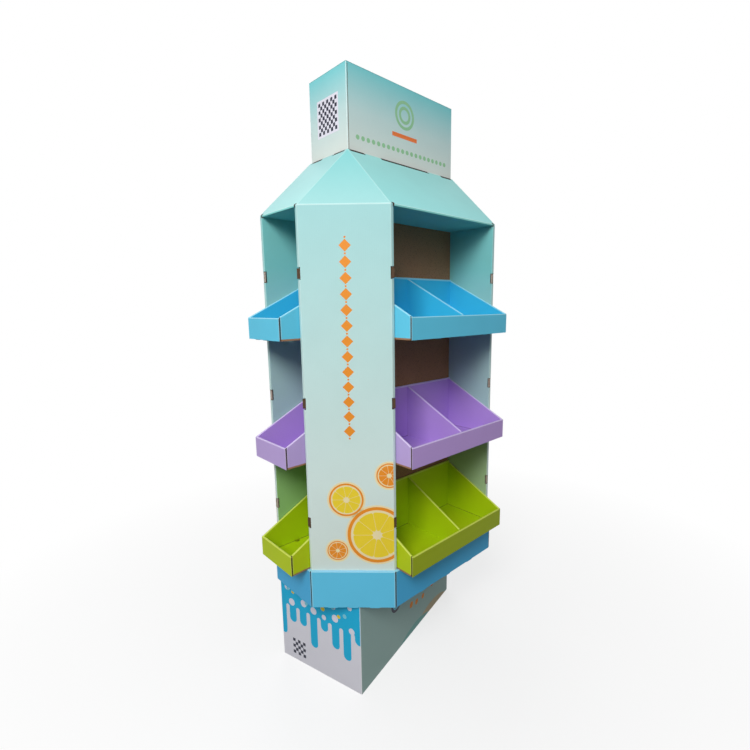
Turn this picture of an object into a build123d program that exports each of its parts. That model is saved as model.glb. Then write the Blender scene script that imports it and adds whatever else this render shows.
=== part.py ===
from build123d import *
import math
import os

# Four-sided floor display of folded corrugated board, in millimetres.
# The long bays face -Y and +Y, the short bays face -X and +X.
# The origin is on the floor, under the middle of the display's body.

# Board and fits
board = 4.0
tray_board = 3.0
fit = 0.3
overrun = 2.0
fold_radius = 1.6
roll_radius = 2.4
seam_gap = 1.2

# Plan of the body
long_bay_width = 416.0
short_bay_width = 162.0
column_strip = 9.0
corner_run = 158.5
glue_lap = 25.0

# Heights of the stacked pieces
pedestal_height = 279.0
skirt_height = 106.0
column_height = 1049.0
roof_rise = 160.0
header_height = 208.0

# Pedestal, which stands askew under the body
pedestal_length = 565.0
pedestal_depth = 306.0
pedestal_turn = 14.25
pedestal_shift_x = -52.0
pedestal_shift_y = 34.0
rib_offset_share = 0.25

# Base tray
base_slit = 2.8
base_tab_length = 26.0
base_tab_drop = 1.8
base_tab_shares = (0.25, 0.5, 0.75)

# Trays
tray_side_gap = 2.0
tray_projection = 57.0
tray_lip_height = 56.0
tray_back_height = 166.0
middle_tray_rise = 298.0
top_tray_rise = 625.0
tray_slit = 2.0
tray_tab_length = 20.0
tray_tab_drop = 1.4
tray_tab_shares = (0.25, 0.5, 0.75)
finger_hole_radius = 9.0
tongue_length = 36.0
tongue_reach = 8.0
tongue_place_shares = (0.38, 0.78)
divider_tab_length = 30.0
divider_tab_shares = (0.25, 0.75)

# Stiffening panel in each column, whose ears show at the folds
liner_side_gap = 1.5
ear_height = 25.0
ear_reach = 7.0
notch_bite = 2.2
notch_gap = 2.6
low_ear_rise = 227.0
ear_pitch = 325.0

# Roof and header
roof_lip = 3.0
relief_radius = 3.0
header_end_outset = 2.0
header_side_outset = 1.0
header_tab_drop = 22.0
header_middle_tab = 194.0
header_corner_tab = 52.0
header_side_tab = 50.0
long_tab_setback = 3.0
side_tab_setback = 8.0
slot_gap = 8.0

# Places that follow from the sizes
half_long_bay = long_bay_width / 2
half_short_bay = short_bay_width / 2
half_width = half_long_bay + column_strip + corner_run
half_depth = half_short_bay + column_strip + corner_run
corner_sum = half_long_bay + column_strip + half_depth
core_half_length = half_long_bay - fit
core_half_depth = half_short_bay + board
side_seat = half_long_bay + board
chamfer_face = corner_run * math.sqrt(2)
base_z = pedestal_height
floor_z = base_z + board
rim_z = base_z + skirt_height
eave_z = floor_z + column_height
roof_top_z = eave_z + roof_rise
header_top_z = roof_top_z + header_height
header_length = long_bay_width + 2 * header_end_outset
header_depth = short_bay_width + 2 * header_side_outset
roof_half_length = header_length / 2 + roof_lip
roof_half_depth = header_depth / 2 + roof_lip
tray_wall = 2 * tray_board
tray_depth = half_depth + tray_projection - core_half_depth - fit
column_wall_depth = half_depth - core_half_depth
tray_rises = {"bottom": fit, "middle": middle_tray_rise, "top": top_tray_rise}
long_tray_width = long_bay_width - 2 * tray_side_gap
short_tray_width = short_bay_width - 2 * tray_side_gap
ear_rises = [low_ear_rise + level * ear_pitch for level in range(3)]


def block(x0, x1, y0, y1, z0, z1):
    solid = Box(x1 - x0, y1 - y0, z1 - z0, align=(Align.MIN, Align.MIN, Align.MIN))
    return solid.moved(Location((x0, y0, z0)))


def prism(points, bottom, top):
    face = make_face(Polyline(*points, close=True))
    return extrude(face, top - bottom, dir=(0, 0, 1)).moved(Location((0, 0, bottom)))


def side_panel(points, x0, x1):
    face = Plane.YZ * make_face(Polyline(*points, close=True))
    return extrude(face, x1 - x0, dir=(1, 0, 0)).moved(Location((x0, 0, 0)))


def upright_edges(solid, places):
    # The vertical edges that stand at the given plan places.
    chosen = []
    for edge in solid.edges().filter_by(Axis.Z):
        middle = edge.center()
        if any(math.hypot(middle.X - x, middle.Y - y) < fit for x, y in places):
            chosen.append(edge)
    return chosen


def round_top(panel, radius):
    # Rounds the long edges of the highest face, where the board is rolled over.
    top = panel.faces().sort_by(Axis.Z)[-1]
    lengths = [edge.length for edge in top.edges()]
    rims = [edge for edge in top.edges() if edge.length > max(lengths) / 2]
    return fillet(rims, radius)


def octagon(outset):
    # Corners of the body's outline, moved out by the given distance.
    x = half_width + outset
    y = half_depth + outset
    total = corner_sum + outset * math.sqrt(2)
    quarter = [(x, total - x), (total - y, y)]
    left = [(-px, py) for px, py in reversed(quarter)]
    upper = quarter + left
    return upper + [(-px, -py) for px, py in upper]


def quarter_turns(solid):
    # The solid of the back right corner, and its mirror images at the other corners.
    left = mirror(solid, about=Plane.YZ)
    return {
        "back_right": solid,
        "back_left": left,
        "front_right": mirror(solid, about=Plane.XZ),
        "front_left": mirror(left, about=Plane.XZ),
    }


# Trays

def tray_top_height(y):
    # Height of the sloping side at a distance y, which is negative in front of the back.
    rise_share = (y + tray_depth) / tray_depth
    return tray_lip_height + (tray_back_height - tray_lip_height) * rise_share


def tongue_places():
    return [-share * column_wall_depth for share in tongue_place_shares]


def make_tray(width, divided):
    # The tray's back is at y = 0, its front at -tray_depth and its bottom at z = 0.
    half = width / 2
    front = -tray_depth
    tray = block(-half, half, front, 0, 0, tray_board)
    tray += round_top(block(-half, half, front, front + tray_wall, 0, tray_lip_height), roll_radius)
    tray += round_top(block(-half, half, -tray_wall, 0, 0, tray_back_height), roll_radius)
    slope = [(front, 0), (front, tray_lip_height), (0, tray_back_height), (0, 0)]
    side = side_panel(slope, half - tray_wall, half)
    slope_edges = [edge for edge in side.edges() if is_slope(edge)]
    side = fillet(slope_edges, roll_radius)
    tray += side
    tray += mirror(side, about=Plane.YZ)
    for sign in (-1, 1):
        tray -= corner_slit(sign, half, front)
        for place in tongue_places():
            tray += tongue(sign, half, place)
    for share in tray_tab_shares:
        tray += lock_tab(-half + share * width, front)
    if divided:
        for share in divider_tab_shares:
            middle = front + share * tray_depth
            tray -= divider_slot(middle)
    else:
        tray -= finger_hole(half)
    return tray


def is_slope(edge):
    # Tells the two sloping edges of a side panel from its level and upright ones.
    size = edge.bounding_box().size
    return size.Y > fit and size.Z > fit


def corner_slit(sign, half, front):
    # The gap between the front panel's end and the side panel's outer layer.
    outer = sign * (half + overrun)
    inner = sign * (half - tray_board)
    near = front + tray_board
    return block(min(outer, inner), max(outer, inner), near, near + tray_slit, -overrun, tray_back_height)


def tongue(sign, half, place):
    # A tongue of the bottom that goes through the column's wall and carries the tray.
    outer = sign * (half + board + tongue_reach)
    inner = sign * (half - tray_wall)
    y0 = place - tongue_length / 2
    return block(min(outer, inner), max(outer, inner), y0, y0 + tongue_length, 0, tray_board)


def lock_tab(middle, front):
    # The foot of the rolled front wall, which locks through the bottom.
    x0 = middle - tray_tab_length / 2
    y0 = front + tray_board
    return block(x0, x0 + tray_tab_length, y0, y0 + tray_board, -tray_tab_drop, tray_board)


def divider_slot(middle):
    x1 = tray_board + fit
    y1 = divider_tab_length / 2 + fit
    return block(-x1, x1, middle - y1, middle + y1, -overrun, tray_board + overrun)


def finger_hole(half):
    # A half-round hole in the bottom against one side, by which a finger opens the joint.
    middle = -tray_depth / 2
    inner = tray_wall - half
    round_hole = Cylinder(finger_hole_radius, tray_board + 2 * overrun).moved(Location((inner, middle, 0)))
    reach = finger_hole_radius + overrun
    return round_hole & block(inner, inner + reach, middle - reach, middle + reach, -overrun, reach)


def make_divider():
    # A doubled panel whose fold is its sloping top edge, with two feet in the bottom's slots.
    y0 = -tray_depth + tray_wall + fit
    y1 = -tray_wall - fit
    z0 = tray_board
    slope = [(y0, z0), (y0, tray_top_height(y0)), (y1, tray_top_height(y1)), (y1, z0)]
    divider = side_panel(slope, -tray_board, tray_board)
    slope_edges = [edge for edge in divider.edges() if is_slope(edge)]
    divider = fillet(slope_edges, roll_radius)
    for share in divider_tab_shares:
        middle = -tray_depth + share * tray_depth
        y2 = middle - divider_tab_length / 2
        divider += block(-tray_board, tray_board, y2, y2 + divider_tab_length, 0, z0)
    return divider


def place_on_side(solid, side, rise):
    # Turns a piece made for the front side to its own side, and lifts it to its level.
    turns = {"front": 0, "right": 90, "back": 180, "left": -90}
    seat = (core_half_depth if side in ("front", "back") else side_seat) + fit
    seated = solid.moved(Location((0, -seat, rim_z + rise)))
    return seated.moved(Location((0, 0, 0), (0, 0, turns[side])))


# Columns

def make_column():
    # One folded sheet: lap, long bay wall, strip, chamfer panel, strip, short bay wall, flange.
    x1 = half_long_bay
    y1 = half_short_bay
    outline = [
        (x1, half_depth),
        (x1 + column_strip, half_depth),
        (half_width, y1 + column_strip),
        (half_width, y1),
        (x1 + board, y1),
        (x1 + board, y1 - glue_lap),
        (x1, y1 - glue_lap),
    ]
    column = prism(outline, floor_z, eave_z)
    column = fillet(upright_edges(column, outline[:4]), fold_radius)
    inner_sum = corner_sum - board * math.sqrt(2)
    inner_x = half_width - board
    inner_y = half_depth - board
    hollow = [
        (x1 + board, inner_y),
        (inner_sum - inner_y, inner_y),
        (inner_x, inner_sum - inner_x),
        (inner_x, y1 + board),
        (x1 + 2 * board, y1 + board),
        (x1 + 2 * board, y1 + board + glue_lap),
        (x1 + board, y1 + board + glue_lap),
    ]
    column -= prism(hollow, floor_z - overrun, eave_z + overrun)
    for rise in ear_rises:
        column -= ear_notch(floor_z + rise)
    for rise in tray_rises.values():
        for place in tongue_places():
            column -= tongue_slots(place, rim_z + rise)
    for x, y in ((x1, half_depth), (half_width, y1)):
        column -= relief_hole(x, y)
    return column


def ear_notch(z):
    # Cuts both folds of the chamfer panel where an ear comes out.
    near = chamfer_face / 2 - notch_bite
    far = chamfer_face / 2 + column_strip
    behind = column_strip * math.sqrt(0.5) + board
    low = z - notch_gap
    high = z + ear_height + notch_gap
    right = block(near, far, -behind, overrun, low, high)
    left = block(-far, -near, -behind, overrun, low, high)
    return on_chamfer(right) + on_chamfer(left)


def on_chamfer(solid):
    # Moves a piece made on the middle of a panel that faces +Y to the back right chamfer.
    middle_x = half_width - corner_run / 2
    middle_y = half_depth - corner_run / 2
    return solid.moved(Location((middle_x, middle_y, 0), (0, 0, -45)))


def tongue_slots(place, z):
    # Slots for the tongues of the long tray and of the short tray, which are at one level.
    reach = tongue_length / 2 + fit
    low = z - fit
    high = z + tray_board + fit
    y = core_half_depth + fit - place
    long_slot = block(half_long_bay - overrun, side_seat + overrun, y - reach, y + reach, low, high)
    x = side_seat + fit - place
    short_slot = block(x - reach, x + reach, half_short_bay - overrun, core_half_depth + overrun, low, high)
    return long_slot + short_slot


def relief_hole(x, y):
    # The small round hole that is left where three folds meet at the eave.
    tall = 2 * (board + relief_radius)
    return Cylinder(relief_radius, tall).moved(Location((x, y, eave_z)))


def make_liner():
    # Plain brown panel behind the chamfer panel, with three ears on each edge.
    half = chamfer_face / 2 - liner_side_gap
    back = -(2 * board + fit)
    front = -(board + fit)
    liner = block(-half, half, back, front, floor_z, floor_z + column_height - board)
    for rise in ear_rises:
        z = floor_z + rise
        reach = chamfer_face / 2 + ear_reach
        liner += block(-reach, reach, back, front, z, z + ear_height)
    return on_chamfer(liner)


# Core, base tray and pedestal

def make_core():
    # Rectangular tube whose faces are the backs of the four bays, and whose top clears the slopes.
    top = roof_top_z - 2 * board
    x1 = core_half_length
    y1 = core_half_depth
    core = block(-x1, x1, -y1, y1, floor_z, top)
    core = fillet(core.edges().filter_by(Axis.Z), fold_radius)
    core -= block(board - x1, x1 - board, board - y1, y1 - board, floor_z - overrun, top + overrun)
    low = roof_top_z - header_tab_drop - fit
    for x0, x2 in header_long_tabs():
        core -= block(x0 - fit, x2 + fit, -y1 - overrun, y1 + overrun, low, top + overrun)
    for y0, y2 in header_short_tabs():
        core -= block(-x1 - overrun, x1 + overrun, y0 - fit, y2 + fit, low, top + overrun)
    return core


def make_base_tray():
    # Eight-sided tray with rolled walls, in which the four columns and the core stand.
    outer = octagon(fit + 2 * board)
    inner = octagon(fit)
    tray = prism(outer, base_z, rim_z)
    tray = fillet(tray.faces().sort_by(Axis.Z)[-1].edges(), fold_radius)
    tray -= prism(inner, floor_z, rim_z + overrun)
    for corner in outer:
        tray -= wall_slit(corner)
    for start, end in zip(outer, outer[1:] + outer[:1]):
        for share in base_tab_shares:
            tray += base_tab(start, end, share)
    return tray


def wall_slit(corner):
    # The open joint of the outer layer at a corner of the base tray, from its bottom to its rim.
    x, y = corner
    outward = math.degrees(math.atan2(y * abs(x) / half_width, x * abs(y) / half_depth))
    slit = block(-board, overrun, -base_slit / 2, base_slit / 2, base_z - overrun, rim_z + overrun)
    return slit.moved(Location((x, y, 0), (0, 0, outward)))


def base_tab(start, end, share):
    # A low bump under the bottom edge, where the wall's outer layer is locked.
    x = start[0] + (end[0] - start[0]) * share
    y = start[1] + (end[1] - start[1]) * share
    along = math.degrees(math.atan2(end[1] - start[1], end[0] - start[0]))
    half = base_tab_length / 2
    tab = block(-half, half, 0, board, base_z - base_tab_drop, base_z + board)
    return tab.moved(Location((x, y, 0), (0, 0, along)))


def on_pedestal(solid):
    return solid.moved(Location((pedestal_shift_x, pedestal_shift_y, 0), (0, 0, pedestal_turn)))


def make_pedestal():
    # Sleeve of four walls with its top closed by flaps, open at the floor.
    x1 = pedestal_length / 2
    y1 = pedestal_depth / 2
    box = block(-x1, x1, -y1, y1, 0, pedestal_height)
    box = fillet(box.edges().filter_by(Axis.Z), fold_radius)
    box -= block(board - x1, x1 - board, board - y1, y1 - board, -overrun, pedestal_height - board)
    for sign in (-1, 1):
        x0 = sign * (x1 - board)
        x2 = sign * (x1 - y1)
        low = pedestal_height - 2 * board
        box += block(min(x0, x2), max(x0, x2), board - y1, y1 - board, low, pedestal_height - board)
    reach = x1 - 2 * board
    box -= block(-reach, reach, -seam_gap / 2, seam_gap / 2, pedestal_height - board, pedestal_height + overrun)
    return on_pedestal(box)


def rib_top():
    return pedestal_height - 2 * board - fit


def make_long_rib():
    # Halved over the cross ribs: open at the top where they drop in.
    x1 = pedestal_length / 2 - board - fit
    rib = block(-x1, x1, -board / 2, board / 2, 0, rib_top())
    for sign in (-1, 1):
        x = sign * rib_offset_share * pedestal_length
        half = board / 2 + fit
        rib -= block(x - half, x + half, -board, board, rib_top() / 2, rib_top() + overrun)
    return on_pedestal(rib)


def make_cross_rib(sign):
    y1 = pedestal_depth / 2 - board - fit
    x = sign * rib_offset_share * pedestal_length
    rib = block(x - board / 2, x + board / 2, -y1, y1, 0, rib_top())
    half = board / 2 + fit
    rib -= block(x - board, x + board, -half, half, -overrun, rib_top() / 2 + fit)
    return on_pedestal(rib)


# Roof and header

def roof_planes(inset):
    # The eight sloping planes of the roof, moved in by the given distance.
    top = (roof_half_length, roof_half_depth, roof_top_z)
    long_eave = (corner_sum - half_depth, half_depth, eave_z)
    short_eave = (half_width, corner_sum - half_width, eave_z)
    long_normal = Vector(0, roof_rise, half_depth - roof_half_depth).normalized()
    short_normal = Vector(roof_rise, 0, half_width - roof_half_length).normalized()
    corner_normal = (Vector(*top) - Vector(*long_eave)).cross(Vector(*short_eave) - Vector(*long_eave))
    corner_normal = corner_normal.normalized()
    planes = []
    for sx in (-1, 1):
        planes.append(Plane(origin=(sx * short_eave[0], 0, eave_z), z_dir=(sx * short_normal.X, 0, short_normal.Z)))
        for sy in (-1, 1):
            origin = (sx * top[0], sy * top[1], roof_top_z)
            direction = (sx * corner_normal.X, sy * corner_normal.Y, corner_normal.Z)
            planes.append(Plane(origin=origin, z_dir=direction))
    for sy in (-1, 1):
        planes.append(Plane(origin=(0, sy * long_eave[1], eave_z), z_dir=(0, sy * long_normal.Y, long_normal.Z)))
    return [plane.offset(-inset) for plane in planes]


def roof_block(inset, bottom, top):
    solid = block(-half_width, half_width, -half_depth, half_depth, bottom, top)
    for plane in roof_planes(inset):
        solid = split(solid, bisect_by=plane, keep=Keep.BOTTOM)
    return solid


def header_long_tabs():
    # Start and end along X of the tabs on each long wall of the header.
    end = header_length / 2 - long_tab_setback
    start = end - header_corner_tab
    half = header_middle_tab / 2
    return [(-end, -start), (-half, half), (start, end)]


def header_short_tabs():
    # Start and end along Y of the tabs on each short wall of the header.
    end = header_depth / 2 - side_tab_setback
    start = end - header_side_tab
    return [(-end, -start), (start, end)]


def make_roof():
    # One folded sheet: flat top, four slopes, four corner triangles and four ceiling flaps.
    roof = roof_block(0, eave_z, roof_top_z)
    roof -= roof_block(board, eave_z - overrun, roof_top_z - board)
    low = eave_z - board
    flap_x = half_long_bay - fit
    flap_y = half_short_bay - fit
    for sign in (-1, 1):
        y0 = sign * (core_half_depth + fit)
        y1 = sign * half_depth
        roof += block(-flap_x, flap_x, min(y0, y1), max(y0, y1), low, eave_z)
        x0 = sign * (side_seat + fit)
        x1 = sign * half_width
        roof += block(min(x0, x1), max(x0, x1), -flap_y, flap_y, low, eave_z)
    for x in (-half_long_bay, half_long_bay):
        for y in (-half_depth, half_depth):
            roof -= relief_hole(x, y)
    for x in (-half_width, half_width):
        for y in (-half_short_bay, half_short_bay):
            roof -= relief_hole(x, y)
    for slot in header_slots():
        roof -= slot
    return roof


def header_slots():
    # Slots along the foot of the header, which run out into the slopes and show as dark lines.
    slots = []
    low = roof_top_z - 2 * board - overrun
    high = roof_top_z + overrun
    inner = board + fit
    for sign in (-1, 1):
        y0 = sign * (header_depth / 2 - inner)
        y1 = sign * (header_depth / 2 + slot_gap)
        for x0, x1 in header_long_tabs():
            slots.append(block(x0 - fit, x1 + fit, min(y0, y1), max(y0, y1), low, high))
        x2 = sign * (header_length / 2 - inner)
        x3 = sign * (header_length / 2 + slot_gap)
        for y2, y3 in header_short_tabs():
            slots.append(block(min(x2, x3), max(x2, x3), y2 - fit, y3 + fit, low, high))
    return slots


def make_header():
    # Printed box with a closed top, whose tabs go down through the roof.
    x1 = header_length / 2
    y1 = header_depth / 2
    box = block(-x1, x1, -y1, y1, roof_top_z, header_top_z)
    box = fillet(box.edges().filter_by(Axis.Z), fold_radius)
    box -= block(board - x1, x1 - board, board - y1, y1 - board, roof_top_z - overrun, header_top_z - board)
    for sign in (-1, 1):
        x0 = sign * (x1 - board)
        x2 = sign * (x1 - y1)
        low = header_top_z - 2 * board
        box += block(min(x0, x2), max(x0, x2), board - y1, y1 - board, low, header_top_z - board)
        y2 = sign * y1
        y3 = sign * (y1 - board)
        for x3, x4 in header_long_tabs():
            low = roof_top_z - header_tab_drop
            box += block(x3, x4, min(y2, y3), max(y2, y3), low, roof_top_z)
        x5 = sign * x1
        x6 = sign * (x1 - board)
        for y4, y5 in header_short_tabs():
            box += block(min(x5, x6), max(x5, x6), y4, y5, roof_top_z - header_tab_drop, roof_top_z)
    reach = x1 - 2 * board
    box -= block(-reach, reach, -seam_gap / 2, seam_gap / 2, header_top_z - board, header_top_z + overrun)
    box -= glue_corner(x1, y1)
    return box


def glue_corner(x1, y1):
    # The open joint at the front left corner, where the sheet's end meets its first wall.
    inner = board - seam_gap
    x0 = -x1 + board
    return block(x0, x0 + seam_gap, -y1 - overrun, -y1 + inner, roof_top_z - overrun, header_top_z - board)


def make_parts():
    parts = {
        "header": make_header(),
        "roof": make_roof(),
        "core": make_core(),
        "base_tray": make_base_tray(),
        "pedestal": make_pedestal(),
        "pedestal_rib_long": make_long_rib(),
        "pedestal_rib_left": make_cross_rib(-1),
        "pedestal_rib_right": make_cross_rib(1),
    }
    for corner, solid in quarter_turns(make_column()).items():
        parts["column_" + corner] = solid
    for corner, solid in quarter_turns(make_liner()).items():
        parts["column_liner_" + corner] = solid
    long_tray = make_tray(long_tray_width, True)
    short_tray = make_tray(short_tray_width, False)
    divider = make_divider()
    for level, rise in tray_rises.items():
        for side in ("front", "back"):
            parts["tray_" + side + "_" + level] = place_on_side(long_tray, side, rise)
            parts["divider_" + side + "_" + level] = place_on_side(divider, side, rise)
        for side in ("left", "right"):
            parts["tray_" + side + "_" + level] = place_on_side(short_tray, side, rise)
    return parts


os.makedirs("parts", exist_ok=True)
for name, solid in make_parts().items():
    export_step(solid, "parts/" + name + ".step")
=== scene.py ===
from collections import namedtuple
import math

import bmesh
import bpy
from mathutils import Matrix, Vector


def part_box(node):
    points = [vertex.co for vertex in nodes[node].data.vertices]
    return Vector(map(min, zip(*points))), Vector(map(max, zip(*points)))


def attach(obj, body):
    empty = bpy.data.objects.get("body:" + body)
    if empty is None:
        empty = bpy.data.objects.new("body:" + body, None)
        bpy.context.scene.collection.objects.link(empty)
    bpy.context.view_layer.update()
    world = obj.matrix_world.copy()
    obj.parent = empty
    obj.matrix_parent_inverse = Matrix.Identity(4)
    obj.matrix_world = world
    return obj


# A folded cardboard display: materials for board and print, films of overprint, camera and lamps.
# Lengths are in metres. The folded pieces come from the frame, and the films are made here.
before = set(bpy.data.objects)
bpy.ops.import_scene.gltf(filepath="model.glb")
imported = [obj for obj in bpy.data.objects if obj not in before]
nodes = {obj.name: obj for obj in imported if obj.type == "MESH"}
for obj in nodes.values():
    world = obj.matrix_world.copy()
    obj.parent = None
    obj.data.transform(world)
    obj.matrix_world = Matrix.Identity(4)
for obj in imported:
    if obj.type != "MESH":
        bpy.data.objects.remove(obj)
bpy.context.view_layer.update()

# Sizes of the body, read from the frame. On the chamfered faces x and y add up to corner_sum.
BOARD = 0.004
COLUMN_STRIP = 0.009
column_low, column_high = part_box("column_back_right")
half_long_bay = column_low[0]
half_short_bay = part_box("core")[1][1] - BOARD
half_width, half_depth = column_high[0], column_high[1]
foot_z, eave_z = column_low[2], column_high[2]
corner_sum = half_long_bay + COLUMN_STRIP + half_depth
chamfer_run = half_depth - half_short_bay - COLUMN_STRIP
chamfer_half = chamfer_run / math.sqrt(2)
chamfer_shift = half_width - half_depth

# Sizes of the roof and the header
ROOF_LIP = 0.003
roof_top_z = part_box("roof")[1][2]
header_x, header_y, header_top_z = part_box("header")[1]

# Sizes of the trays
TRAY_BOARD = 0.003
TRAY_LIP = 0.056
TRAY_BACK = 0.166
TRAY_SLIT = 0.002
TRAY_TAB_DROP = 0.0014
TRAY_SIDE_GAP = 0.002
tray_wall = 2 * TRAY_BOARD
half_tray = half_long_bay - TRAY_SIDE_GAP
tray_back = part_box("divider_back_top")[0][1] - tray_wall
tray_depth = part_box("tray_back_top")[1][1] - tray_back
short_tray_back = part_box("tray_right_top")[1][0] - tray_depth

# Sizes of the base tray and of the pedestal, which stands turned under the body
base_low, base_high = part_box("base_tray")
base_outset = base_high[0] - half_width
pedestal_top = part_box("pedestal")[1][2]
PEDESTAL_TURN = math.radians(14.25)
PEDESTAL_CENTRE = (-0.052, 0.034, 0)
PEDESTAL_HALF_LENGTH = 0.2825
PEDESTAL_HALF_DEPTH = 0.153

# Colours that several pieces share, as sRGB
KRAFT = "9A7253"
# Kraft painted pale as painted light, for the stiffening panels' ears
KRAFT_LIT = "B3A396"
# Kraft painted darker as painted shade
KRAFT_SHADED = "56412F"
KRAFT_DARK = "4A372A"
# Painted shade, nearly black, for holes, slots, slits and open joints that light hardly reaches
GAP_SHADE = "2A211B"
# Painted highlight along folds, with the pale of print cracked at the fold
CREASE_HIGHLIGHT = "E2F3F1"
CREAM = "EFE0B0"
SOFT_GREEN = "93C79A"
WHITE = "FFFFFF"

# Half the width of a pressed crease, and how far a surface may lie from where it is looked for
CREASE_WIDTH = 0.0009
SKIN = 0.0005


def colour(code):
    # sRGB hex to the linear values that shaders take.
    parts = [int(code[i:i + 2], 16) / 255 for i in (0, 2, 4)]
    linear = [c / 12.92 if c <= 0.04045 else ((c + 0.055) / 1.055) ** 2.4 for c in parts]
    return (*linear, 1.0)


def add(tree, kind, inputs=None, **settings):
    # Adds one node with its settings, and links or sets its inputs.
    node = tree.nodes.new(kind)
    for name, value in settings.items():
        setattr(node, name, value)
    for key, value in (inputs or {}).items():
        value = getattr(value, "socket", value)
        if isinstance(value, bpy.types.NodeSocket):
            tree.links.new(value, node.inputs[key])
        else:
            node.inputs[key].default_value = value
    return node


class Field:
    # A number that varies from point to point or from copy to copy. A test gives 1 where it holds, or 0.
    def __init__(self, tree, socket):
        self.tree = tree
        self.socket = socket

    def work(self, operation, *others):
        inputs = {0: self, **{i + 1: other for i, other in enumerate(others)}}
        return Field(self.tree, add(self.tree, "ShaderNodeMath", inputs, operation=operation).outputs[0])

    def __add__(self, other):
        return self.work("ADD", other)

    def __sub__(self, other):
        return self.work("SUBTRACT", other)

    def __mul__(self, other):
        return self.work("MULTIPLY", other)

    def __truediv__(self, other):
        return self.work("DIVIDE", other)

    def __and__(self, other):
        return self.work("MULTIPLY", other)

    def __or__(self, other):
        return self.work("MAXIMUM", other)

    def __gt__(self, other):
        return self.work("GREATER_THAN", other)

    def __lt__(self, other):
        return self.work("LESS_THAN", other)

    def __invert__(self):
        return self.work("LESS_THAN", 0.5)

    def size(self):
        return self.work("ABSOLUTE")

    def near(self, place, reach):
        return self.work("COMPARE", place, reach)

    def away(self, other):
        # Distance from the origin of the point that two coordinates give.
        return (self * self + other * other).work("SQRT")

    def share(self, start, end):
        # 0 at start and 1 at end, and between them in proportion.
        inputs = {"Value": self, "From Min": start, "From Max": end}
        return Field(self.tree, add(self.tree, "ShaderNodeMapRange", inputs, clamp=True).outputs[0])


class Print:
    # The colour of one surface, as inks that are laid one over the other.
    def __init__(self, tree, code):
        self.tree = tree
        self.ink = colour(code)

    def lay(self, mask, code, strength=1.0):
        factor = mask * strength if strength < 1 else mask
        inputs = {0: factor, 6: self.ink, 7: colour(code)}
        self.ink = add(self.tree, "ShaderNodeMix", inputs, data_type="RGBA").outputs[2]


# Distances from the middle along X and Y, the height, the same with their signs, and the plain vector
Surface = namedtuple("Surface", "x y z signed_x signed_y source")


def start_material(name):
    # An empty material, and its tree.
    material = bpy.data.materials.new(name)
    material.use_nodes = True
    material.node_tree.nodes.clear()
    return material, material.node_tree


def surface_of(tree, turn=0.0, centre=(0, 0, 0)):
    # Object coordinates, turned about an upright axis through the centre.
    source = add(tree, "ShaderNodeTexCoord").outputs["Object"]
    moved = add(tree, "ShaderNodeVectorMath", {0: source, 1: centre}, operation="SUBTRACT").outputs[0]
    inputs = {"Vector": moved, "Angle": -turn}
    turned = add(tree, "ShaderNodeVectorRotate", inputs, rotation_type="Z_AXIS").outputs[0]
    split = add(tree, "ShaderNodeSeparateXYZ", {0: turned})
    x, y, z = (Field(tree, split.outputs[i]) for i in range(3))
    return Surface(x.size(), y.size(), z, x, y, source)


# Sizes in the board. Real fibres and specks are finer, and are drawn as coarse as they need to show.
FLUTE_PITCH = 0.0075
FLUTE_RELIEF = 0.00002
FIBRE_SIZE = 0.0014
FIBRE_RELIEF = 0.00003
FINE_FIBRE_SIZE = 0.00111
SPECK_SIZE = 0.00238
PATCH_SIZE = 0.07
WARP_SIZE = 0.16
WARP_RELIEF = 0.0016

# How matt the print is, how much its ink varies, and the range that a noise hardly leaves
PRINT_ROUGHNESS = 0.55
PRINT_UNEVENNESS = 0.025
PAPER_SHEEN = 0.3
NOISE_LOW = 0.3
NOISE_HIGH = 0.7


def finish_board(tree, surface, ink, roughness=PRINT_ROUGHNESS, unevenness=PRINT_UNEVENNESS):
    # Matt board: faint flutes under the paper, fibres, patchy ink and a slight warp of each panel.
    patches, fibres, warp = (
        Field(tree, add(tree, "ShaderNodeTexNoise", {"Vector": surface.source, **sizes}).outputs[0])
        for sizes in (
            {"Scale": 1 / PATCH_SIZE, "Detail": 4.0}, {"Scale": 1 / FIBRE_SIZE, "Detail": 2.0},
            {"Scale": 1 / WARP_SIZE, "Detail": 1.0},
        )
    )
    inputs = {
        "Value": (patches + fibres) * 0.5, "From Min": NOISE_LOW, "From Max": NOISE_HIGH,
        "To Min": 1 - unevenness, "To Max": 1 + unevenness,
    }
    strength = add(tree, "ShaderNodeMapRange", inputs).outputs[0]
    toned = add(tree, "ShaderNodeVectorMath", {0: ink, "Scale": strength}, operation="SCALE").outputs[0]
    flutes = ((surface.x - surface.y) * (2 * math.pi / FLUTE_PITCH)).work("SINE")
    relief = flutes * FLUTE_RELIEF + fibres * FIBRE_RELIEF + warp * WARP_RELIEF
    bump = add(tree, "ShaderNodeBump", {"Strength": 1.0, "Distance": 1.0, "Height": relief})
    inputs = {
        "Base Color": toned, "Normal": bump.outputs[0], "Roughness": roughness,
        "Specular IOR Level": PAPER_SHEEN,
    }
    shader = add(tree, "ShaderNodeBsdfPrincipled", inputs)
    add(tree, "ShaderNodeOutputMaterial", {0: shader.outputs[0]})


KRAFT_ROUGHNESS = 0.85
KRAFT_UNEVENNESS = 0.06
SPECK_RANGE = (0.56, 0.74)


def kraft_board(name, code):
    # Unprinted corrugated board: warm grey brown paper with darker specks, no sheen.
    material, tree = start_material(name)
    surface = surface_of(tree)
    inputs = {"Vector": surface.source, "Scale": 1 / SPECK_SIZE, "Detail": 4.0}
    specks = Field(tree, add(tree, "ShaderNodeTexNoise", inputs).outputs[0])
    board = Print(tree, code)
    board.lay(specks.share(*SPECK_RANGE), KRAFT_DARK)
    finish_board(tree, surface, board.ink, KRAFT_ROUGHNESS, KRAFT_UNEVENNESS)
    return material


HOLE_REACH = 0.0045


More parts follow.
